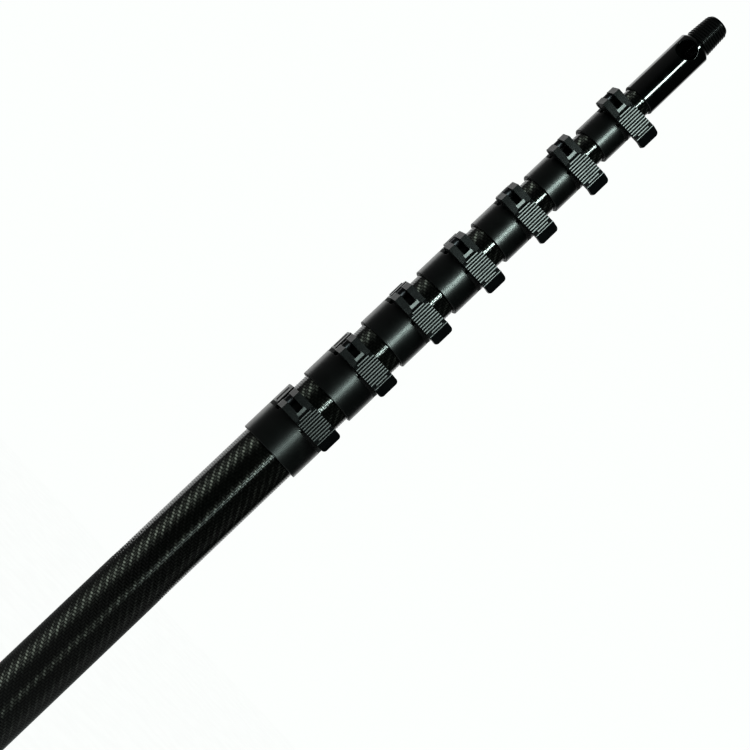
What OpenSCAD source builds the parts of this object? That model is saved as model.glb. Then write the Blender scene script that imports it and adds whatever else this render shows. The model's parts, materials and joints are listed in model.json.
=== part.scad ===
// Telescopic boom pole, drawn collapsed.
// The pole axis is +Z with the tip up. The origin is the centre of the butt end face.
// Levers face -Y and open towards -Y.
// Tubes are numbered from the widest, 1, to the thinnest, 8. Clamp i holds tube i + 1.

/* [Tubes] */
// Outer diameter of the widest tube
outer_tube_diameter = 42; // [41.6:0.2:44]
// Step in outer diameter from one tube to the next one inside it
tube_step = 3; // [2.96:0.02:3.1]
// Wall thickness of every tube
tube_wall = 1.1; // [1:0.02:1.1]
// Height of the first clamp's lower edge above the butt face
first_clamp_height = 480; // [440:5:560]
// Lift of each tube's lower end over the one outside it
tube_stagger = 18; // [17:1:20]

/* [Clamps] */
// Sleeve length of the first clamp
sleeve_length = 22.5; // [21:0.1:26]
// Shortening of the sleeve from one clamp to the next
sleeve_step = 0.7; // [0.4:0.05:0.8]
// Height of the slit between sleeve and band
slit_height = 2.8; // [2.4:0.1:3.2]
// Height of the clamping band
band_height = 15; // [14.6:0.1:15.6]
// Wall of sleeve over its own tube
sleeve_wall = 2.2; // [2.1:0.05:2.6]
// Bare tube above the first clamp
first_gap = 11.65; // [9:0.05:16]
// Shortening of the bare length from one clamp to the next
gap_step = 0.9; // [0:0.1:1.2]
// Shortest bare length
least_gap = 10.72; // [9:0.02:12]
// Bare tube below the tip ferrule
last_gap = 8.85; // [6:0.05:14]

/* [Levers] */
// Width of the lever along the pole
lever_width = 15.3; // [15:0.1:16]
// Width of the fork slot
fork_slot = 5.1; // [5.1:0.1:5.8]
// Spacing of the thumb ridges
rib_pitch = 1.92; // [1.88:0.01:1.93]
// Depth of the grooves between ridges
rib_depth = 0.6; // [0.4:0.05:0.7]

/* [Tip] */
// Outer diameter of the tip ferrule
ferrule_diameter = 24; // [23.6:0.1:25]
// Length of the ferrule's smooth body
ferrule_length = 55.1; // [55:0.1:58]
// Diameter of the cable hole in the ferrule's side
cable_hole_diameter = 15; // [13.6:0.1:15]
// Turn of the cable hole from the lever side
cable_hole_turn = 12.3; // [0:0.1:30]
// Largest thread diameter of the nose
thread_big_diameter = 20.4; // [19.6:0.1:20.6]
// Smallest thread diameter of the nose
thread_small_diameter = 17.7; // [17.2:0.1:18]
// Length of the threaded nose
thread_length = 20.9; // [20:0.1:23]

/* [Hidden] */
last_tube = 8;
margin = 1;         // overshoot of cutting shapes
slide_play = 0.05;  // between a tube's bore and the parts that slide in it
fit_play = 0.02;    // between parts fixed to each other

carbon = [0.06, 0.065, 0.065];
black = [0.09, 0.1, 0.1];
lever_black = [0.12, 0.13, 0.14];
steel = [0.62, 0.63, 0.65];
dark_metal = [0.05, 0.05, 0.055];
nylon = [0.25, 0.25, 0.26];
rubber = [0.04, 0.04, 0.04];

// Stations along the pole.
function tube_radius(i) = (outer_tube_diameter - tube_step * (i - 1)) / 2;
function bore_radius(i) = tube_radius(i) - tube_wall;
function sleeve(i) = sleeve_length - sleeve_step * (i - 1);
function bare_length(i) = max(least_gap, first_gap - gap_step * (i - 1));
function sleeve_low(i) =
  i == 1 ? first_clamp_height : band_low(i - 1) + band_height + bare_length(i - 1);
function slit_low(i) = sleeve_low(i) + sleeve(i);
function band_low(i) = slit_low(i) + slit_height;

// Tubes: square-cut ends, ground down where the clamp is bonded on.
cap_flange = 4;
first_lift = 22;  // of tube 2's lower end over tube 1's
bond_step = 0.3;
bond_lead = 0.4;  // ground length below the sleeve
lip = 2;          // of the clamp body, over the tube's upper end
lip_play = 0.2;
socket_depth = 30;
ferrule_low = band_low(last_tube - 1) + band_height + last_gap;

function tube_low(i) = cap_flange + (i == 1 ? 0 : first_lift + tube_stagger * (i - 2));
function tube_high(i) =
  i == last_tube ? ferrule_low + socket_depth : slit_low(i) - lip - lip_play;
function bond_radius(i) = tube_radius(i) - bond_step;

module tube(i) color(carbon) rotate_extrude($fn = 128)
  polygon(concat(
    [[bore_radius(i), tube_low(i)], [tube_radius(i), tube_low(i)]],
    i == last_tube ? [[tube_radius(i), tube_high(i)]] : [
      [tube_radius(i), sleeve_low(i) - bond_lead],
      [bond_radius(i), sleeve_low(i) - bond_lead],
      [bond_radius(i), tube_high(i)]],
    [[bore_radius(i), tube_high(i)]]));

// Clamp radii.
band_play = 0.1;
function body_radius(i) = tube_radius(i) + sleeve_wall;
function band_bore(i) = tube_radius(i + 1) + band_play;

// Pivot of lever i, and the line of its eyebolt, which runs tangent to the band.
pivot_x = -15;
pivot_inset = 1.1;
bolt_inset = 1;
bolt_rise = 6.7;  // of the first eyebolt over its band's lower edge
bolt_rise_step = 0.15;
function pivot_y(i) = pivot_inset - body_radius(i);
function pivot_radius(i) = norm([pivot_x, pivot_y(i)]);
function bolt_offset(i) = body_radius(i) - bolt_inset;
function bolt_turn(i) =
  atan(pivot_x / pivot_y(i)) + acos(bolt_offset(i) / pivot_radius(i));
function bolt_height(i) = band_low(i) + bolt_rise - bolt_rise_step * (i - 1);

// Distance along the bolt from the pivot to the point nearest the pole axis.
function bolt_foot(i) = sqrt(pow(pivot_radius(i), 2) - pow(bolt_offset(i), 2));

// Frame of the eyebolt at height z: +X along its shank, +Y away from the pole.
module bolt_frame(i, z)
  translate([pivot_x, pivot_y(i), z]) rotate([0, 0, 180 - bolt_turn(i)]) children();

// Rod on the bolt frame's X axis.
module rod(from, to, radius)
  rotate([0, 90, 0]) translate([0, 0, from]) cylinder(r = radius, h = to - from, $fn = 48);

// Split of the band, as distances along the bolt, and its turn from -Y towards -X.
split_from = 6.2;
split_to = 7.2;
split_mid = (split_from + split_to) / 2;
split_depth = 2;  // its inner end, beyond the pole axis
split_reach = 8;  // its outer end, as split_depth beyond the bolt line plus this
function wall_mid(i) = (band_bore(i) + body_radius(i)) / 2;
function split_turn(i) = bolt_turn(i) - asin((bolt_foot(i) - split_mid) / wall_mid(i));

// The slit runs round the pole, except for a bridge on the -Y side.
bridge_turn = 11;  // end of the bridge, turned from -Y towards +X
slit_over = 6;
wedge_side = 60;
wedge_tip = 120;
slit_end_extra = 0.2;
module slit(i) {
  difference() {
    translate([0, 0, slit_low(i)])
      cylinder(r = body_radius(i) + slit_over, h = slit_height, $fn = 128);
    translate([0, 0, slit_low(i) - margin]) linear_extrude(slit_height + 2 * margin)
      polygon([
        [0, 0],
        [-wedge_side * sin(split_turn(i)), -wedge_side * cos(split_turn(i))],
        [0, -wedge_tip],
        [wedge_side * sin(bridge_turn), -wedge_side * cos(bridge_turn)]]);
  }
  // Round ends.
  for (turn = [bridge_turn, -split_turn(i)])
    translate([0, 0, slit_low(i) + slit_height / 2])
      rotate([0, 0, turn]) rotate([90, 0, 0])
        cylinder(r = slit_height / 2 + slit_end_extra, h = body_radius(i) + slit_over, $fn = 48);
}

// Sleeve and band in one turned piece.
bond_play = 0.05;
edge = 0.3;
module clamp_shell(i) {
  outer = body_radius(i);
  inner = bond_radius(i) + bond_play;
  low = sleeve_low(i);
  high = band_low(i) + band_height;
  lip_low = slit_low(i) - lip;
  rotate_extrude($fn = 128) polygon([
    [inner, low], [outer - edge, low], [outer, low + edge],
    [outer, high - edge], [outer - edge, high],
    [band_bore(i), high], [band_bore(i), lip_low], [inner, lip_low]]);
}

// Lug that takes the cam's thrust. Outline points are [x, y] in the bolt frame.
lug_inset = 0.5;
split_overlap = 0.5;  // of lug and boss into the split, before it is cut
lug_outline = [
  [3.55, -5.5], [split_from + split_overlap, -5.5],
  [split_from + split_overlap, 3], [4.2, 3], [3.55, 2.2]];
module lug(i) bolt_frame(i, band_low(i) + lug_inset)
  linear_extrude(band_height - 2 * lug_inset) polygon(lug_outline);

// Boss the eyebolt screws into. Outline points are [x, y] in the bolt frame.
boss_rise = 1.5;
boss_height = 11;
boss_round_at = 10.3;
boss_radius = 3;
boss_outline = [
  [split_to - split_overlap, -3.6], [split_to - split_overlap, 2.6], [boss_round_at, 2.6],
  [boss_round_at + 3.3, 0.2], [boss_round_at + 3.3, -3.6]];
module boss(i) bolt_frame(i, band_low(i) + boss_rise) {
  linear_extrude(boss_height) polygon(boss_outline);
  translate([boss_round_at, 0, 0]) cylinder(r = boss_radius, h = boss_height, $fn = 64);
}

// Bonded sleeve, bridge and split band of clamp i, with the cam lug and the tapped boss.
lug_bore_play = 0.8;
bore_cut = 200;
shank_from = 2;
clearance_radius = 1.7;
tapped_radius = 1.52;  // drawn at the thread's size
tapped_end = 11.8;
hole_overlap = 0.1;
module clamp_body(i) color(black) difference() {
  union() {
    difference() {
      clamp_shell(i);
      slit(i);
    }
    difference() {
      union() {
        lug(i);
        boss(i);
      }
      translate([0, 0, sleeve_low(i)])
        cylinder(r = band_bore(i) + lug_bore_play, h = bore_cut, $fn = 128);
    }
  }
  // Split between lug and boss.
  bolt_frame(i, slit_low(i) + slit_height / 2)
    translate([split_from, split_depth - bolt_offset(i), 0])
      cube([split_to - split_from, bolt_offset(i) + split_reach, band_height + 4]);
  // Clearance hole, then tapped hole, for the eyebolt.
  bolt_frame(i, bolt_height(i)) {
    rod(shank_from, split_mid, clearance_radius);
    rod(split_mid - hole_overlap, tapped_end, tapped_radius);
  }
}

// Lever, drawn with +X along it, +Y outwards and Z across it, and the pivot at the origin.
pivot_hole_radius = 1.55;
cam_centre = [-0.04, -0.22, 0];
cam_radius = 3.2;
pad_top = 7.6;
rib_from = 14.6;  // centre of the first ridge
rib_count = 10;
last_rib = rib_from + rib_pitch * (rib_count - 1);
pad_end = last_rib + 1.5;
tip_corner = 2.3;
tip_from = 37.9;  // centre of the tip's corner rounds
heel_width = 7;

// Side outline, [x, y].
lever_outline = [
  [0.7, 7.9], [-2.86, 1.3], [0, 0], [2.6, -1.4], [9, 4], [34.4, 4], [38.7, 0.97],
  [40.2, 3.1], [pad_end + 0.55, 7.5], [pad_end, pad_top], [13.9, pad_top], [13.3, 7.02]];

// Raised heel between the fork's root and the ridges, [x, y].
heel_outline = [[9, 5], [9, 7.85], [9.9, 7.75], [12.2, 7.34], [12.2, 5]];

module lever_blank() intersection() {
  union() {
    linear_extrude(lever_width) polygon(lever_outline);
    translate(cam_centre) cylinder(r = cam_radius, h = lever_width, $fn = 96);
    translate([0, 0, (lever_width - heel_width) / 2])
      linear_extrude(heel_width) polygon(heel_outline);
  }
  // Outline seen from outside, with rounded corners at the tip.
  rotate([90, 0, 0]) linear_extrude(60, center = true) union() {
    translate([-20, 0]) square([58, lever_width]);
    translate([tip_from, tip_corner]) square([2.5, lever_width - 2 * tip_corner]);
    for (z = [tip_corner, lever_width - tip_corner])
      translate([tip_from, z]) circle(r = tip_corner, $fn = 48);
  }
}

// Everything above the ridges: sloped crests with flat-bottomed grooves between them.
crest_half = 0.42;
over_top = 9;
// One ridge and its groove: [distance from the ridge's centre, depth below the pad top].
rib_profile = [[-crest_half, 0], [crest_half, 0.16], [0.62, rib_depth], [1.3, rib_depth]];
module over_ridges() linear_extrude(lever_width + 2 * margin) polygon(concat(
  [[rib_from - crest_half, over_top]],
  [for (k = [0:rib_count - 1], point = rib_profile)
    [rib_from + rib_pitch * k + point.x, pad_top - point.y]],
  [[pad_end, pad_top], [pad_end, over_top]]));

// Cuts the pad down to groove depth on both sides of a strip of the given width.
module beside(x, length, width)
  for (z = [-margin, (lever_width + width) / 2])
    translate([x, pad_top + 0.05 - rib_depth, z])
      cube([length, 3, (lever_width - width) / 2 + margin]);

// Slotted over-centre lever with a ridged thumb pad.
fork_root = 9.9;
fork_cut_from = -10;
heel_groove_width = 8.5;
function lever_low(i) = bolt_height(i) - lever_width / 2;
module lever(i) color(lever_black)
  translate([pivot_x, pivot_y(i), lever_low(i)]) mirror([0, 1, 0]) difference() {
    lever_blank();
    translate([fork_cut_from, -20, (lever_width - fork_slot) / 2])
      cube([fork_root - fork_cut_from, 40, fork_slot]);
    // Groove between heel and ridges.
    translate([12.3, 6.5, (lever_width - heel_groove_width) / 2])
      cube([0.95, 3, heel_groove_width]);
    translate([0, 0, -margin]) over_ridges();
    // Narrower first and last ridges.
    beside(x = 13.35, length = 2, width = 10);
    beside(x = last_rib - 0.6, length = 1.2, width = 9.4);
    translate([0, 0, -margin])
      cylinder(r = pivot_hole_radius, h = lever_width + 2 * margin, $fn = 48);
  }

// Eye on the lever's pin, and the threaded shank.
eye_radius = 2.8;
eye_height = 4.8;
eye_cut = 6;
shank_radius = 1.5;
shank_end = 11.6;
module eyebolt(i) color(steel) bolt_frame(i, bolt_height(i)) difference() {
  union() {
    translate([0, 0, -eye_height / 2]) cylinder(r = eye_radius, h = eye_height, $fn = 64);
    rod(shank_from, shank_end, shank_radius);
  }
  translate([0, 0, -eye_cut / 2]) cylinder(r = pivot_hole_radius, h = eye_cut, $fn = 48);
}

// C-shaped rubber strip that fills the slit between sleeve and band.
seal_play = 0.05;
seal_inset = 0.15;
seal_from = bridge_turn + 4.5;
seal_end_gap = 8;
module slit_seal(i) {
  inner = band_bore(i) + seal_play;
  color(rubber) translate([0, 0, slit_low(i) + seal_play]) rotate([0, 0, seal_from - 90])
    rotate_extrude(angle = 360 - split_turn(i) - seal_end_gap - seal_from, $fn = 128)
      translate([inner, 0])
        square([body_radius(i) - seal_inset - inner, slit_height - 2 * seal_play]);
}

pin_radius = 1.5;
pin_inset = 0.2;
module pivot_pin(i) color(steel)
  translate([pivot_x, pivot_y(i), lever_low(i) + pin_inset])
    cylinder(r = pin_radius, h = lever_width - 2 * pin_inset, $fn = 48);

// Outer radius of the parts on tube i that slide in the tube outside it.
function slide_radius(i) = bore_radius(i - 1) - slide_play;

// Flanged plug that centres the lower end of tube i in the tube outside it.
guide_flange = 4;
guide_spigot = 10;
guide_wall = 1.5;
guide_edge = 0.4;
module guide_plug(i) {
  inner = bore_radius(i) - guide_wall;
  spigot = bore_radius(i) - fit_play;
  outer = slide_radius(i);
  low = tube_low(i) - guide_flange;
  high = tube_low(i) + guide_spigot;
  color(nylon) rotate_extrude($fn = 128) polygon([
    [inner, low], [outer - guide_edge, low], [outer, low + guide_edge], [outer, tube_low(i)],
    [spigot, tube_low(i)], [spigot, high], [inner, high]]);
}

// Thin collar round tube i that meets the clamp's lip at full extension.
ring_rise = 62;
ring_height = 18;
module stop_ring(i) {
  inner = tube_radius(i) + fit_play;
  outer = slide_radius(i);
  low = tube_low(i) + ring_rise;
  high = low + ring_height;
  color(nylon) rotate_extrude($fn = 128)
    polygon([[inner, low], [outer, low], [outer, high], [inner, high]]);
}

// Rubber cap plugged into the butt of the widest tube.
cap_edge = 1.1;
cap_wall = 2.6;
cap_plug_length = 12;
module butt_cap() {
  outer = tube_radius(1) - 0.1;
  plug = bore_radius(1) - fit_play;
  inner = bore_radius(1) - cap_wall;
  high = cap_flange + cap_plug_length;
  color(rubber) rotate_extrude($fn = 128) polygon([
    [0, 0], [outer - cap_edge, 0], [outer, cap_edge], [outer, cap_flange], [plug, cap_flange],
    [plug, high], [inner, high], [inner, cap_flange], [0, cap_flange]]);
}

// Hollow ferrule over the end of the thinnest tube, with the cable hole in its side.
ferrule_top = ferrule_low + ferrule_length;
ferrule_roof = ferrule_top - 2.2;  // underside of the closed end
ferrule_wall = 3.2;
ferrule_edge = 0.5;
nose_hole_radius = 5;
cable_hole_rise = 45.2;
module tip_ferrule() {
  outer = ferrule_diameter / 2;
  inner = outer - ferrule_wall;
  socket = tube_radius(last_tube) + 0.03;
  socket_top = ferrule_low + socket_depth;
  color(dark_metal) difference() {
    rotate_extrude($fn = 128) polygon([
      [socket, ferrule_low], [outer - ferrule_edge, ferrule_low],
      [outer, ferrule_low + ferrule_edge], [outer, ferrule_top - 2], [outer - 1.6, ferrule_top],
      [nose_hole_radius, ferrule_top], [nose_hole_radius, ferrule_roof],
      [inner, ferrule_roof], [inner, socket_top], [socket, socket_top]]);
    translate([0, 0, ferrule_low + cable_hole_rise])
      rotate([0, 0, -cable_hole_turn]) rotate([90, 0, 0])
        cylinder(d = cable_hole_diameter, h = 30, $fn = 96);
  }
}

// Tapered nose, pressed into the ferrule's end. The thread is drawn as separate rings.
crests = 9;
neck_radius = 8.6;
thread_low = ferrule_top + 1.3;
thread_high = thread_low + thread_length;
crest_pitch = (thread_length - 1.8) / crests;
// One crest: [height as a fraction of the pitch, depth below the crest radius].
crest_profile = [[0.15, 0.75], [0.35, 0], [0.6, 0], [0.85, 0.75]];
// Rounded end: [inset from the smallest thread radius, distance below the end].
nose_end = [[0.9, 1.5], [1.4, 0.5], [2.4, 0]];
function crest_radius(z) =
  (thread_big_diameter - (thread_big_diameter - thread_small_diameter) * z / thread_length) / 2;
module tip_nose() {
  peg = nose_hole_radius - fit_play;
  color(dark_metal) rotate_extrude($fn = 128) polygon(concat(
    [[0, ferrule_roof], [peg, ferrule_roof], [peg, ferrule_top],
     [neck_radius, ferrule_top], [neck_radius, thread_low]],
    [for (k = [0:crests - 1], point = crest_profile)
      let (z = (k + point.x) * crest_pitch)
      [crest_radius(z) - point.y, thread_low + z]],
    [for (point = nose_end) [thread_small_diameter / 2 - point.x, thread_high - point.y]],
    [[0, thread_high]]));
}

module tube_1() tube(1);
module tube_2() tube(2);
module tube_3() tube(3);
module tube_4() tube(4);
module tube_5() tube(5);
module tube_6() tube(6);
module tube_7() tube(7);
module tube_8() tube(8);
module clamp_body_1() clamp_body(1);
module clamp_body_2() clamp_body(2);
module clamp_body_3() clamp_body(3);
module clamp_body_4() clamp_body(4);
module clamp_body_5() clamp_body(5);
module clamp_body_6() clamp_body(6);
module clamp_body_7() clamp_body(7);
module lever_1() lever(1);
module lever_2() lever(2);
module lever_3() lever(3);
module lever_4() lever(4);
module lever_5() lever(5);
module lever_6() lever(6);
module lever_7() lever(7);
module eyebolt_1() eyebolt(1);
module eyebolt_2() eyebolt(2);
module eyebolt_3() eyebolt(3);
module eyebolt_4() eyebolt(4);
module eyebolt_5() eyebolt(5);
module eyebolt_6() eyebolt(6);
module eyebolt_7() eyebolt(7);
module slit_seal_1() slit_seal(1);
module slit_seal_2() slit_seal(2);
module slit_seal_3() slit_seal(3);
module slit_seal_4() slit_seal(4);
module slit_seal_5() slit_seal(5);
module slit_seal_6() slit_seal(6);
module slit_seal_7() slit_seal(7);
module pivot_pin_1() pivot_pin(1);
module pivot_pin_2() pivot_pin(2);
module pivot_pin_3() pivot_pin(3);
module pivot_pin_4() pivot_pin(4);
module pivot_pin_5() pivot_pin(5);
module pivot_pin_6() pivot_pin(6);
module pivot_pin_7() pivot_pin(7);
module guide_plug_2() guide_plug(2);
module guide_plug_3() guide_plug(3);
module guide_plug_4() guide_plug(4);
module guide_plug_5() guide_plug(5);
module guide_plug_6() guide_plug(6);
module guide_plug_7() guide_plug(7);
module guide_plug_8() guide_plug(8);
module stop_ring_2() stop_ring(2);
module stop_ring_3() stop_ring(3);
module stop_ring_4() stop_ring(4);
module stop_ring_5() stop_ring(5);
module stop_ring_6() stop_ring(6);
module stop_ring_7() stop_ring(7);
module stop_ring_8() stop_ring(8);

tube_1();
tube_2();
tube_3();
tube_4();
tube_5();
tube_6();
tube_7();
tube_8();
clamp_body_1();
clamp_body_2();
clamp_body_3();
clamp_body_4();
clamp_body_5();
clamp_body_6();
clamp_body_7();
lever_1();
lever_2();
lever_3();
lever_4();
lever_5();
lever_6();
lever_7();
eyebolt_1();
eyebolt_2();
eyebolt_3();
eyebolt_4();
eyebolt_5();
eyebolt_6();
eyebolt_7();
slit_seal_1();
slit_seal_2();
slit_seal_3();
slit_seal_4();
slit_seal_5();
slit_seal_6();
slit_seal_7();
pivot_pin_1();
pivot_pin_2();
pivot_pin_3();
pivot_pin_4();
pivot_pin_5();
pivot_pin_6();
pivot_pin_7();
guide_plug_2();
guide_plug_3();
guide_plug_4();
guide_plug_5();
guide_plug_6();
guide_plug_7();
guide_plug_8();
stop_ring_2();
stop_ring_3();
stop_ring_4();
stop_ring_5();
stop_ring_6();
stop_ring_7();
stop_ring_8();
butt_cap();
tip_ferrule();
tip_nose();
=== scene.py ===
"""A telescopic carbon pole with lever clamps and a threaded nose.

The pole's axis is world Z, through the origin, with the nose at the +Z end. The camera
looks along +Y from the -Y side and is rolled, so the pole lies aslant in the frame.
"""
import json
import math
from functools import reduce

import bmesh
import bpy
from mathutils import Matrix, Vector


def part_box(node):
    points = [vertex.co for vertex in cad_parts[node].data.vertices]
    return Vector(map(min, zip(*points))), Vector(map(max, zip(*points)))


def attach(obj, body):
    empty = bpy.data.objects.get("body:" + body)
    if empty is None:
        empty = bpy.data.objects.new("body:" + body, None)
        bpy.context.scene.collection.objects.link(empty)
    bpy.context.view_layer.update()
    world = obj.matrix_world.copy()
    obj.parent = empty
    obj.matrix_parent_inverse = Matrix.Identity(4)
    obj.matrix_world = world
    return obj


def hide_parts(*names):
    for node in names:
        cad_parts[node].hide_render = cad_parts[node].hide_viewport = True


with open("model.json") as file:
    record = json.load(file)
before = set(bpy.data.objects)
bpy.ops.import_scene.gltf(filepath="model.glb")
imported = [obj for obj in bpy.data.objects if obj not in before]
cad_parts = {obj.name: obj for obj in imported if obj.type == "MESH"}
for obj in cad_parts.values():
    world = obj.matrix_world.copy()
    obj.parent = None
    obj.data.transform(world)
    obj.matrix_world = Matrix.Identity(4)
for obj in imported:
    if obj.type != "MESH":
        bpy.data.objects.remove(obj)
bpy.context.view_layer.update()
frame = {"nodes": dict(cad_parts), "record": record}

MM = 0.001
scene = bpy.context.scene
scene.view_settings.view_transform = "Standard"
scene.view_settings.look = "None"
scene.view_settings.gamma = 0.75
NODES = frame["nodes"]
RECORD = frame["record"]
BODY_OF = {
    name: body for body, names in RECORD["behaviour"]["bodies"].items() for name in names
}


# ---------------------------------------------------------------- node helpers
class Net:
    """Adds shader nodes to a tree. Any value may be a number or another node's socket."""

    def __init__(self, tree):
        self.tree = tree

    def new(self, kind, inputs=None, **props):
        node = self.tree.nodes.new(kind)
        for key, value in props.items():
            setattr(node, key, value)
        self.fill(node, inputs or {})
        return node

    def fill(self, node, inputs):
        for key, value in inputs.items():
            if isinstance(value, bpy.types.NodeSocket):
                self.tree.links.new(value, node.inputs[key])
            else:
                node.inputs[key].default_value = value

    def math(self, operation, *values, clamp=False):
        inputs = dict(enumerate(values))
        node = self.new("ShaderNodeMath", inputs, operation=operation, use_clamp=clamp)
        return node.outputs[0]

    def add(self, *values):
        return reduce(lambda a, b: self.math("ADD", a, b), values)

    def subtract(self, *values):
        return reduce(lambda a, b: self.math("SUBTRACT", a, b), values)

    def multiply(self, *values):
        return reduce(lambda a, b: self.math("MULTIPLY", a, b), values)

    def vector(self, operation, *values):
        node = self.new("ShaderNodeVectorMath", dict(enumerate(values)), operation=operation)
        return node.outputs["Value" if operation == "DOT_PRODUCT" else "Vector"]

    def split(self, vector):
        return self.new("ShaderNodeSeparateXYZ", {0: vector}).outputs

    def combine(self, **axes):
        return self.new("ShaderNodeCombineXYZ", axes).outputs[0]

    def mix(self, factor, a, b):
        node = self.new("ShaderNodeMix", {0: factor, 2: a, 3: b}, data_type="FLOAT")
        return node.outputs[0]

    def mix_colour(self, factor, a, b):
        node = self.new("ShaderNodeMix", {0: factor, 6: a, 7: b}, data_type="RGBA")
        return node.outputs[2]

    def ramp(self, value, start, end, low=0.0, high=1.0, smooth=True):
        """Runs from low at start to high at end."""
        inputs = dict(enumerate((value, start, end, low, high)))
        kind = "SMOOTHSTEP" if smooth else "LINEAR"
        return self.new("ShaderNodeMapRange", inputs, interpolation_type=kind).outputs[0]

    def noise(self, vector, scale, detail=2.0, rough=0.5):
        inputs = {"Vector": vector, "Scale": scale, "Detail": detail, "Roughness": rough}
        return self.new("ShaderNodeTexNoise", inputs).outputs["Fac"]

    def bump(self, height, strength, distance, normal=None):
        inputs = {"Strength": strength, "Distance": distance, "Height": height}
        if normal is not None:
            inputs["Normal"] = normal
        return self.new("ShaderNodeBump", inputs).outputs[0]

    def bell(self, value, centre, width):
        offset = self.math("DIVIDE", self.subtract(value, centre), width)
        return self.math("POWER", 2.718, self.multiply(offset, offset, -1.0))

    def position(self):
        """Object position in millimetres."""
        metres = self.new("ShaderNodeTexCoord").outputs["Object"]
        inputs = {0: metres, "Scale": 1000.0}
        return self.new("ShaderNodeVectorMath", inputs, operation="SCALE").outputs[0]

    def camera_ray(self):
        return self.new("ShaderNodeLightPath").outputs["Is Camera Ray"]


def material(name):
    mat = bpy.data.materials.new(name)
    mat.use_nodes = True
    bsdf = next(n for n in mat.node_tree.nodes if n.type == "BSDF_PRINCIPLED")
    return mat, Net(mat.node_tree), bsdf


def rgb(r, g, b):
    return (r, g, b, 1.0)


def scaled(colour, factor):
    return rgb(*(channel * factor for channel in colour[:3]))


def round_edges_with_wear_and_sheen(net, place, edge, edge_wear_and_sheen, scale, start):
    """The normal rounded by edge mm, and a mask along sharp edges of patchy rubbing plus a painted
    edge highlight.
    """
    rounded = net.new("ShaderNodeBevel", {"Radius": edge * MM}, samples=4).outputs[0]
    flat = net.new("ShaderNodeNewGeometry").outputs["Normal"]
    edge_rub_and_sheen = net.ramp(net.vector("DOT_PRODUCT", rounded, flat), start=0.995, end=0.86)
    patches = net.ramp(net.noise(place, scale, detail=4.0, rough=0.7), start=start, end=0.7)
    return rounded, net.multiply(edge_rub_and_sheen, patches, edge_wear_and_sheen)


# ---------------------------------------------------------------- materials
HOOP = 1.75  # pitch of the hoop tows along the pole, mm
AXIAL = 1.52  # pitch of the axial tows round the pole, mm
REPEAT = 4  # tows in one repeat of the twill
FIRST_TUBE, TUBE_STEP = 42, 3  # diameter of tube 1 and the drop to each next tube, mm
TUBE_SHIFT = 3.1  # shift of the weave round each next tube, mm


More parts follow.
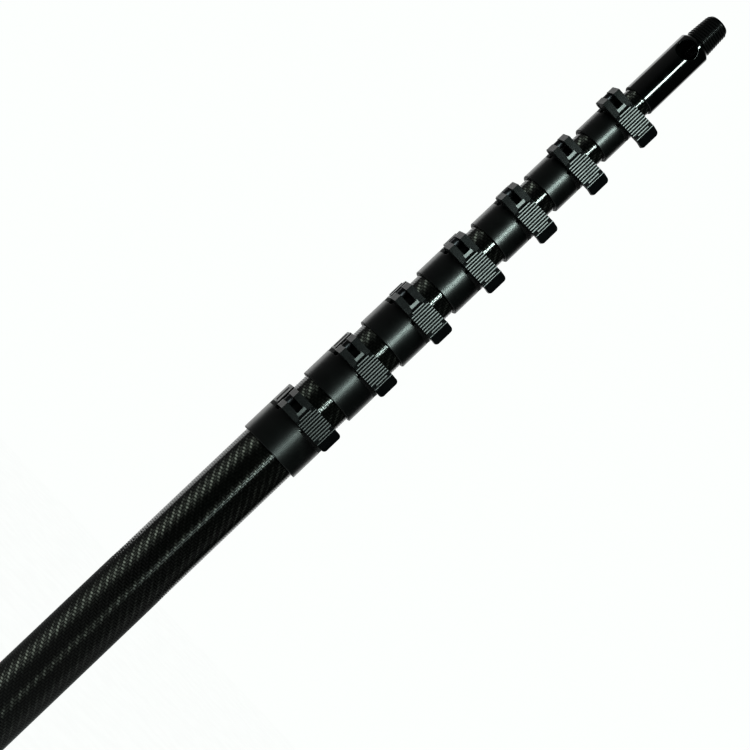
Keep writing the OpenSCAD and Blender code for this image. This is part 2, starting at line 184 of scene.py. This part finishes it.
def carbon(name, radius, shift):
    """Clear-coated 2x2 twill round a tube of this radius in mm, its wales at about 41 degrees,
    with painted highlight bands in its base colour.
    """
    mat, net, bsdf = material(name)
    place = net.position()
    x, y, z = net.split(place)

    def drift(scale, detail, amount):
        return net.multiply(net.subtract(net.noise(place, scale, detail), 0.5), amount)

    # place along and round the pole, counted in tows; whole repeats close the seam
    angle = net.math("ARCTAN2", x, net.multiply(y, -1.0))
    repeat = REPEAT * AXIAL
    weave_radius = repeat * round(2 * math.pi * radius / repeat) / (2 * math.pi)
    arc = net.add(net.multiply(angle, weave_radius), shift)
    wobble = drift(scale=0.09, detail=2.0, amount=0.5)
    along = net.add(net.math("DIVIDE", z, HOOP), wobble)
    around = net.add(net.math("DIVIDE", arc, AXIAL), wobble)
    row, column = net.math("FLOOR", along), net.math("FLOOR", around)
    step = net.math("FLOORED_MODULO", net.add(row, column), float(REPEAT))
    hoop_on_top = net.math("LESS_THAN", step, 1.5)

    def phase(count, crossing):
        return net.math("FLOORED_MODULO", net.add(count, crossing), float(REPEAT))

    def tow_height(count, whole, phase_along):
        """Rounded across the tow, and waving over and under along it."""
        across = net.subtract(count, whole, 0.5)
        crown = net.subtract(1.0, net.multiply(across, across, 3.9))
        wave = net.math("SINE", net.multiply(phase_along, math.pi / 2))
        return net.multiply(crown, net.add(0.25, net.multiply(wave, 0.75)))

    hoop_height = tow_height(along, row, phase(around, row))
    axial_height = tow_height(around, column, net.subtract(phase(along, column), 2.0))
    height = net.mix(hoop_on_top, axial_height, hoop_height)

    # filaments: fine across each tow, long along it
    fine, long = 14.0, 0.7
    filaments = net.combine(
        X=net.mix(hoop_on_top, net.multiply(around, fine), net.multiply(along, fine)),
        Y=net.mix(hoop_on_top, net.multiply(along, long), net.multiply(around, long)),
        Z=hoop_on_top,
    )
    fibre = net.noise(filaments, scale=1.0)

    # painted highlight: bands of light painted into the base colour along the pole where the
    # surface turns a set amount from the eye
    geometry = net.new("ShaderNodeNewGeometry").outputs
    cross = net.vector("CROSS_PRODUCT", (0.0, 0.0, 1.0), geometry["Incoming"])
    turn = net.vector("DOT_PRODUCT", geometry["Normal"], net.vector("NORMALIZE", cross))
    turn = net.add(turn, drift(scale=0.035, detail=1.0, amount=0.10))
    near_band = net.bell(turn, centre=0.15, width=0.085)
    minus_band = net.bell(turn, centre=-0.60, width=0.15)
    plus_band = net.bell(turn, centre=0.72, width=0.2)

    def glow(base, *bands):
        """Painted brightness: base level plus each painted highlight band times its gain."""
        total = base
        for band, gain in bands:
            total = net.add(net.multiply(band, gain), total)
        return total

    hoop_lit = glow(0.014, (minus_band, 0.80), (near_band, 0.25))
    axial_lit = glow(0.016, (minus_band, 0.22), (near_band, 0.075), (plus_band, 0.05))
    patches = net.noise(place, scale=0.55, detail=3.0, rough=0.65)
    lit = net.multiply(
        net.mix(hoop_on_top, axial_lit, hoop_lit),
        net.ramp(patches, start=0.32, end=0.7, low=0.45, high=1.5),
    )
    # the painted highlight falls off into painted shade in the gaps between tows and varies from
    # filament to filament
    crest = net.math("POWER", net.math("MAXIMUM", height, 0.0), 1.1)
    body = net.multiply(crest, 1.25, net.add(0.6, net.multiply(fibre, 0.8)))
    lit = net.math("MULTIPLY", lit, body, clamp=True)
    tint = net.mix_colour(
        net.noise(place, scale=0.02), rgb(0.31, 0.31, 0.28), rgb(0.37, 0.36, 0.32)
    )
    scuff = net.noise(place, scale=0.4, detail=4.0, rough=0.7)
    # the base colour carries the painted highlight bands and the painted shade in the gaps
    net.fill(bsdf, {
        "Base Color": net.mix_colour(lit, rgb(0.0008, 0.0011, 0.0009), tint),
        "Roughness": net.mix(height, 0.6, 0.42),
        "Specular IOR Level": 0.0,
        "Normal": net.bump(height, strength=0.35, distance=0.00012),
        "Coat Weight": net.ramp(height, start=0.05, end=0.55, low=0.3, high=1.0),
        "Coat IOR": 1.45,
        "Coat Roughness": net.ramp(scuff, start=0.3, end=0.8, low=0.04, high=0.09),
        "Coat Normal": net.bump(height, strength=0.34, distance=0.00008),
    })
    return mat


def moulded(name, dark, pale, rough, grain=2.6, edge=0.35, edge_wear_and_sheen=0.5, depth=0.5, spec=0.5):
    """Satin moulded plastic with a fine grain and rubbed edges that also carry a painted
    highlight; edge is in mm.
    """
    mat, net, bsdf = material(name)
    place = net.position()
    rounded, wear_and_sheen = round_edges_with_wear_and_sheen(net, place, edge, edge_wear_and_sheen, scale=0.8, start=0.4)
    fine = net.noise(place, grain, detail=3.0, rough=0.6)
    cells = net.new("ShaderNodeTexVoronoi", {"Vector": place, "Scale": grain * 1.4}, feature="F1")
    texture = net.add(net.multiply(fine, 0.6), net.multiply(cells.outputs["Distance"], 0.5))
    broad = net.noise(place, scale=0.09, detail=3.0, rough=0.6)
    colour = net.mix_colour(net.ramp(broad, start=0.35, end=0.65), dark, pale)
    flecks = net.multiply(net.ramp(fine, start=0.62, end=0.78), 0.35)
    colour = net.mix_colour(flecks, colour, scaled(pale, 2.6))
    # edges are paler and smoother: rubbing plus a painted highlight along the edges
    smoothing = net.multiply(wear_and_sheen, -0.12)
    net.fill(bsdf, {
        "Base Color": net.mix_colour(wear_and_sheen, colour, rgb(0.07, 0.078, 0.078)),
        "Roughness": net.add(net.mix(broad, rough - 0.05, rough + 0.06), smoothing),
        "Specular IOR Level": spec,
        "Normal": net.bump(texture, depth, distance=0.00004, normal=rounded),
    })
    return mat


def turned(name, base, rough, rings, metal, edge_wear_and_sheen=0.6, edge=0.3, depth=0.25, spec=0.5):
    """Lathe-turned finish: fine rings round the pole axis, rings per mm; edge is in mm."""
    mat, net, bsdf = material(name)
    place = net.position()
    x, _, z = net.split(place)
    rounded, wear_and_sheen = round_edges_with_wear_and_sheen(net, place, edge, edge_wear_and_sheen, scale=0.9, start=0.35)
    ring_place = net.combine(X=net.multiply(x, 0.02), Z=net.multiply(z, rings))
    lines = net.noise(ring_place, scale=1.0, detail=3.0, rough=0.6)
    smut = net.noise(place, scale=0.12, detail=4.0, rough=0.65)
    colour = net.mix_colour(net.ramp(smut, start=0.3, end=0.7), base, scaled(base, 1.5))
    haze = net.ramp(smut, start=0.3, end=0.75, low=rough - 0.03, high=rough + 0.06)
    # edges are paler: rubbing plus a painted highlight along the edges
    net.fill(bsdf, {
        "Base Color": net.mix_colour(wear_and_sheen, colour, rgb(0.22, 0.23, 0.24)),
        "Metallic": metal,
        "Specular IOR Level": spec,
        "Roughness": net.add(haze, net.multiply(lines, 0.05)),
        "Normal": net.bump(lines, depth, distance=0.00002, normal=rounded),
    })
    return mat


GLOSS_BLACK = rgb(0.0012, 0.0014, 0.0014)
RINGS = 7.0  # per mm, on the black tip parts
MATERIALS = {
    "clamp_black": moulded(
        "moulded_clamp", dark=rgb(0.0018, 0.0024, 0.0022), pale=rgb(0.0028, 0.0037, 0.0034),
        rough=0.33),
    "lever_black": moulded(
        "moulded_lever", dark=rgb(0.0022, 0.0027, 0.0030), pale=rgb(0.0034, 0.0042, 0.0045),
        rough=0.235, edge=0.13, depth=0.12, spec=0.26),
    "steel": turned(
        "black_oxide_steel", rgb(0.035, 0.035, 0.038), rough=0.42, rings=9.0, metal=1.0, edge_wear_and_sheen=0.3),
    "tip_black": turned(
        "gloss_anodised", GLOSS_BLACK, rough=0.08, rings=RINGS, metal=0.0,
        edge_wear_and_sheen=0.06, depth=0.05, edge=0.5),
    "nylon": moulded(
        "guide_nylon", dark=rgb(0.10, 0.10, 0.105), pale=rgb(0.13, 0.13, 0.135), rough=0.5),
    "rubber": moulded(
        "butt_rubber", dark=rgb(0.0045, 0.0045, 0.0045), pale=rgb(0.008, 0.008, 0.008),
        rough=0.72, grain=1.4),
}

slot_of = {part["node"]: part["material_slot"] for part in RECORD["subparts"]}
for name, obj in NODES.items():
    if slot_of[name] == "carbon":
        tube = int(name.split("_")[1])
        diameter = FIRST_TUBE - TUBE_STEP * (tube - 1)
        mat = carbon("carbon_twill_%d" % tube, diameter / 2, TUBE_SHIFT * tube)
    else:
        mat = MATERIALS[slot_of[name]]
    if not obj.data.materials:
        obj.data.materials.append(mat)
    for k in range(len(obj.data.materials)):
        obj.data.materials[k] = mat


# ---------------------------------------------------------------- threaded nose
SEGMENTS = 96
RINGS_PER_PITCH = 14
END_RINGS = 6
PITCH = 2.1 * MM
THREAD_DEPTH = 0.75 * MM
CREST_BASE, CREST_TOP = 10.2 * MM, 8.85 * MM  # crest radii at the two ends of the taper
SHANK_RADIUS = 4.98 * MM
COLLAR_RADIUS, COLLAR_EDGE_RADIUS = 8.6 * MM, 8.5 * MM
COLLAR_HEIGHT = 1.3 * MM
CHAMFER = 0.1 * MM
END_HEIGHT, END_RADIUS = 1.6 * MM, 1.5 * MM  # rounding of the top end
FADE_IN, FADE_OUT = 1.2 * MM, 1.0 * MM  # lengths over which the thread starts and dies out
PLAIN_TOP = 1.5 * MM  # length below the top with no thread


def unit(value):
    return min(1.0, max(0.0, value))


def thread_form(turns):
    """Crest profile over one pitch: 0 at the root, 1 on a short flat."""
    from_crest = abs(turns % 1.0 - 0.5) * 2
    return unit((0.86 - from_crest) / 0.66)


def nose_rings():
    """Rings from the bottom up, each a list of radii and a height."""
    low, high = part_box("tip_nose")
    ferrule_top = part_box("tip_ferrule")[1][2]
    base, top = ferrule_top + COLLAR_HEIGHT, high[2]
    length = top - base
    profile = [  # radius, z
        (SHANK_RADIUS, low[2]),
        (SHANK_RADIUS, ferrule_top),
        (COLLAR_EDGE_RADIUS, ferrule_top),
        (COLLAR_RADIUS, ferrule_top + CHAMFER),
        (COLLAR_RADIUS, base - CHAMFER),
    ]
    rings = [([r] * SEGMENTS, z) for r, z in profile]
    steps = int((length - END_HEIGHT) / PITCH * RINGS_PER_PITCH)
    for j in range(steps + 1):
        z = base + (length - END_HEIGHT) * j / steps
        crest = CREST_BASE + (CREST_TOP - CREST_BASE) * (z - base) / length
        fade = unit((z - base) / FADE_IN) * unit((top - PLAIN_TOP - z) / FADE_OUT)
        forms = [thread_form((z - base) / PITCH - k / SEGMENTS) for k in range(SEGMENTS)]
        rings.append(([crest - THREAD_DEPTH + THREAD_DEPTH * f * fade for f in forms], z))
    for q in range(1, END_RINGS + 1):
        angle = q / END_RINGS * math.pi / 2
        r = CREST_TOP - THREAD_DEPTH - END_RADIUS + END_RADIUS * math.cos(angle)
        z = top - END_HEIGHT + END_HEIGHT * math.sin(angle)
        rings.append(([r] * SEGMENTS, z))
    return rings


def nose():
    bm = bmesh.new()
    angles = [2 * math.pi * k / SEGMENTS for k in range(SEGMENTS)]
    rings = [
        [bm.verts.new((r * math.cos(a), r * math.sin(a), z)) for r, a in zip(radii, angles)]
        for radii, z in nose_rings()
    ]
    for lower, upper in zip(rings, rings[1:]):
        for k in range(SEGMENTS):
            after = (k + 1) % SEGMENTS
            bm.faces.new((lower[k], lower[after], upper[after], upper[k]))
    bm.faces.new(list(reversed(rings[0])))
    bm.faces.new(rings[-1])
    bmesh.ops.recalc_face_normals(bm, faces=bm.faces)
    mesh = bpy.data.meshes.new("threaded_nose")
    bm.to_mesh(mesh)
    bm.free()
    for face in mesh.polygons:
        face.use_smooth = len(face.vertices) == 4
    obj = bpy.data.objects.new("threaded_nose", mesh)
    scene.collection.objects.link(obj)
    mesh.materials.append(turned(
        "black_thread", GLOSS_BLACK, rough=0.22, rings=RINGS, metal=0.0,
        edge_wear_and_sheen=0.12, depth=0.1, edge=0.12, spec=0.2))
    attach(obj, BODY_OF["tip_nose"])
    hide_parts("tip_nose")


nose()

# ---------------------------------------------------------------- stage
STUDIO_WHITE = rgb(0.985, 1.0, 0.99)


def build_floor():
    """Glows white to the camera; a plain pale floor to other rays."""
    bpy.ops.mesh.primitive_plane_add(size=8, location=(0, 0, -0.0005))
    floor = bpy.context.object
    floor.name = "floor"
    mat, net, bsdf = material("pale_floor")
    eye = net.camera_ray()
    cloud = net.noise(net.position(), scale=0.02, detail=3.0)
    grain = net.ramp(cloud, start=0.3, end=0.7, low=0.985, high=1.0)
    net.fill(bsdf, {
        "Base Color": net.mix_colour(eye, rgb(0.8, 0.8, 0.8), rgb(0.0, 0.0, 0.0)),
        "Roughness": 0.9,
        "Specular IOR Level": 0.0,
        "Emission Color": STUDIO_WHITE,
        "Emission Strength": net.mix(eye, 0.05, grain),
    })
    floor.data.materials.append(mat)


def build_world():
    """White to the camera; to other rays, dark with soft cards of light round the pole."""
    world = bpy.data.worlds.new("studio")
    scene.world = world
    world.use_nodes = True
    net = Net(world.node_tree)
    x, y, z = net.split(net.new("ShaderNodeTexCoord").outputs["Generated"])
    # 0 towards -Y, positive towards +X
    azimuth = net.math("ARCTAN2", x, net.multiply(y, -1.0))

    def sweep(start, end, **levels):
        """Ramp over azimuth, in degrees."""
        return net.ramp(azimuth, math.radians(start), math.radians(end), **levels)

    # on the -X side: a broad card, brighter below, and a strip above the level
    below = net.ramp(z, start=0.1, end=-0.5, low=1.0, high=1.5)
    broad = net.multiply(sweep(-35, -112, low=0.0, high=0.25, smooth=False), below)
    above = net.ramp(z, start=0.05, end=0.24, low=0.0, high=0.14)
    side = net.add(broad, net.multiply(sweep(-12, -45), above))
    # behind the pole, towards -X and towards +X
    fall = sweep(-126, -156, low=2.6, high=1.2, smooth=False)
    back_minus_x = net.multiply(sweep(-118, -125), fall)
    back_plus_x = sweep(130, 145, low=0.0, high=1.5)
    # dimmed overhead and underfoot
    steep = net.ramp(net.math("ABSOLUTE", z), start=0.5, end=0.85, low=1.0, high=0.08)
    cards = net.add(net.add(0.006, side), net.add(back_minus_x, back_plus_x))
    level = net.multiply(cards, steep)
    background = next(n for n in world.node_tree.nodes if n.type == "BACKGROUND")
    net.fill(background, {
        "Strength": net.mix(net.camera_ray(), level, 1.0),
        "Color": STUDIO_WHITE,
    })


build_floor()
build_world()

# ---------------------------------------------------------------- camera
TARGET_X, TARGET_ABOVE_CLAMP = 11.4 * MM, 85.1 * MM  # from the foot of the first clamp body
CAMERA_DISTANCE = 1.1
TILT, ROLL = math.radians(5.5), math.radians(43.6)


def build_camera():
    clamp_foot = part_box("clamp_body_1")[0][2]
    target = Vector((TARGET_X, 0, clamp_foot + TARGET_ABOVE_CLAMP))
    forward = Vector((0, math.cos(TILT), math.sin(TILT)))
    # before the roll, the frame's right is up the pole and its up is -X
    pole_way = Vector((0, -math.sin(TILT), math.cos(TILT)))
    minus_x = Vector((-1, 0, 0))
    right = math.cos(ROLL) * pole_way - math.sin(ROLL) * minus_x
    up = math.sin(ROLL) * pole_way + math.cos(ROLL) * minus_x
    data = bpy.data.cameras.new("camera")
    data.lens, data.sensor_width = 80.2, 36.0
    data.clip_start, data.clip_end = 0.02, 50
    camera = bpy.data.objects.new("camera", data)
    turn = Matrix((right, up, -forward)).transposed().to_4x4()
    camera.matrix_world = Matrix.Translation(target - forward * CAMERA_DISTANCE) @ turn
    scene.collection.objects.link(camera)
    scene.camera = camera


build_camera()

# ---------------------------------------------------------------- lamps
KEY_AZIMUTH, KEY_WIDTH = 21.5, 0.22
KEY_COLOUR = (0.84, 1.0, 0.95)
LAMPS = [  # name, azimuth (degrees from -Y towards +X), distance, height, size, watts, colour
    ("key", KEY_AZIMUTH, 1.2, 1.0, (KEY_WIDTH, 0.86), 15.2, KEY_COLOUR),
    ("key_foot", KEY_AZIMUTH, 1.2, 0.505, (KEY_WIDTH, 0.13), 0.75, KEY_COLOUR),
    ("key_toe", KEY_AZIMUTH, 1.2, 0.355, (KEY_WIDTH, 0.17), 0.34, KEY_COLOUR),
    ("key_top", KEY_AZIMUTH, 1.21, 1.15, (KEY_WIDTH, 0.7), 10, KEY_COLOUR),
    ("butt_card", 95, 1.0, 0.21, (0.5, 0.42), 0.12, (1, 1, 1)),
]
for name, azimuth, distance, height, size, watts, colour in LAMPS:
    angle = math.radians(azimuth)
    outward = Vector((math.sin(angle), -math.cos(angle), 0))
    data = bpy.data.lights.new(name, "AREA")
    data.shape = "RECTANGLE"
    data.size, data.size_y = size
    data.energy = watts
    data.color = colour
    obj = bpy.data.objects.new(name, data)
    obj.location = Vector((0, 0, height)) + outward * distance
    obj.rotation_mode = "QUATERNION"
    obj.rotation_quaternion = outward.to_track_quat("Z", "Y")
    scene.collection.objects.link(obj)
